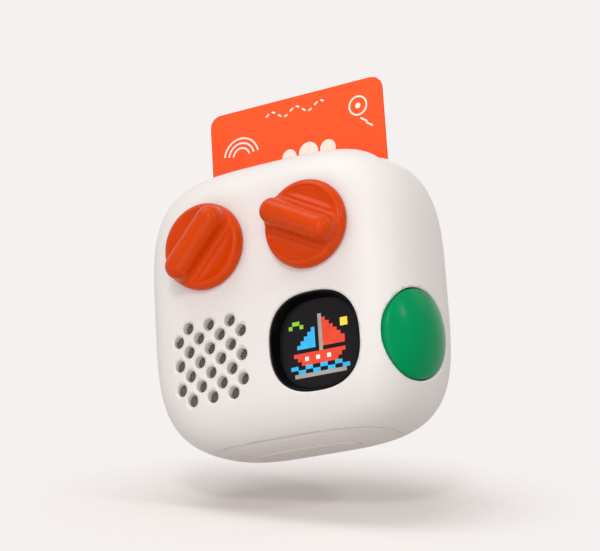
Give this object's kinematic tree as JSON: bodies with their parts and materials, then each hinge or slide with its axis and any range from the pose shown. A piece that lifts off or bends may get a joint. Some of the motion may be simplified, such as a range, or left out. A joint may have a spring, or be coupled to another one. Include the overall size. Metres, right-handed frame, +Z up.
{
  "type": "audio story player",
  "caption": "Soft-cornered white audio story player with two orange dials, a speaker grille, a recessed pixel display, a green side button and an orange story card in its top slot.",
  "frame": {"origin": "middle of the flat foot that the player stands on", "axes": "+X to the right of the front face, +Y towards the back, +Z up, out of the card slot"},
  "size_m": [0.0797, 0.0515, 0.0996],
  "materials": {
    "base_shell": "matte off-white plastic",
    "basket": "glass-filled plastic",
    "black_plastic": "fine matte black plastic",
    "board": "green solder mask",
    "button_green": "semi-gloss green plastic",
    "card_orange": "printed orange plastic card",
    "chip": "moulded black epoxy",
    "cone": "pressed black paper",
    "copper": "enamelled copper wire",
    "dial_orange": "semi-gloss orange-red plastic",
    "foam": "closed-cell foam",
    "foot_rubber": "pale matte rubber",
    "grid": "matte dark plastic",
    "guide": "light grey plastic",
    "magnet": "ground ferrite and steel",
    "mesh": "woven black acoustic mesh",
    "reader": "blue solder mask",
    "ribbon": "amber flat cable",
    "rotor": "natural acetal",
    "shell": "satin warm off-white moulded plastic",
    "shield": "tinned steel",
    "socket": "natural nylon",
    "spring_steel": "spring steel",
    "steel": "zinc plated",
    "tray": "dark grey plastic",
    "window": "smoked glossy window",
    "wire": "red insulated wire",
    "wrap": "laminated battery pouch",
    "zinc": "die-cast, satin"
  },
  "bodies": {
    "casing": {"main_housing": "shell", "rear_cover": "shell", "base_cover": "base_shell", "base_foot": "foot_rubber", "rear_screws": "steel", "base_screws": "steel", "display_cup": "black_plastic", "display_window": "window", "pixel_grid": "grid", "led_board": "board", "board_spacers": "socket", "display_screws": "steel", "display_ribbon": "ribbon", "speaker_mesh": "mesh", "speaker_gasket": "foam", "speaker_basket": "basket", "speaker_cone": "cone", "voice_coil": "copper", "speaker_magnet": "magnet", "speaker_screws": "steel", "speaker_leads": "wire", "left_encoder_case": "zinc", "right_encoder_case": "zinc", "encoder_nuts": "steel", "encoder_washers": "steel", "control_board": "board", "control_board_screws": "steel", "card_guide": "guide", "card_guide_screws": "steel", "card_spring": "spring_steel", "card_switch": "chip", "reader_board": "reader", "reader_ribbon": "ribbon", "switch_case": "chip", "button_board": "board", "button_ribbon": "ribbon", "main_board": "board", "main_board_screws": "steel", "radio_module": "shield", "processor": "chip", "board_ribbon": "ribbon", "charge_port": "shield", "headphone_jack": "chip", "battery": "wrap", "battery_tray": "tray", "battery_tray_screws": "steel", "battery_pad": "foam", "battery_leads": "wire", "battery_connector": "socket"},
    "left_rotor": {"left_encoder_rotor": "rotor"},
    "right_rotor": {"right_encoder_rotor": "rotor"},
    "left_dial": {"left_knob": "dial_orange", "left_knob_shaft": "steel"},
    "right_dial": {"right_knob": "dial_orange", "right_knob_shaft": "steel"},
    "side_button": {"side_button": "button_green", "button_clip": "spring_steel", "switch_plunger": "chip"},
    "story_card": {"story_card": "card_orange"}
  },
  "joints": [
    {"name": "left_dial_turn", "type": "hinge", "parent": "casing", "child": "left_rotor", "pos_m": [-0.0153, -0.0147, 0.0539], "axis": [0, 1, 0], "continuous": true},
    {"name": "left_dial_press", "type": "slide", "parent": "left_rotor", "child": "left_dial", "axis": [0, 1, 0], "range_m": [0, 0.00025], "stiffness_N_per_m": 1500, "springref_m": -0.0002},
    {"name": "right_dial_turn", "type": "hinge", "parent": "casing", "child": "right_rotor", "pos_m": [0.0153, -0.0147, 0.0539], "axis": [0, 1, 0], "continuous": true},
    {"name": "right_dial_press", "type": "slide", "parent": "right_rotor", "child": "right_dial", "axis": [0, 1, 0], "range_m": [0, 0.00025], "stiffness_N_per_m": 1500, "springref_m": -0.0002},
    {"name": "side_button_press", "type": "slide", "parent": "casing", "child": "side_button", "axis": [-1, 0, 0], "range_m": [0, 0.0008], "stiffness_N_per_m": 1200, "springref_m": -0.0003},
    {"name": "story_card_slide", "type": "slide", "parent": "casing", "child": "story_card", "axis": [0, 0, 1], "range_m": [0, 0.058]}
  ]
}
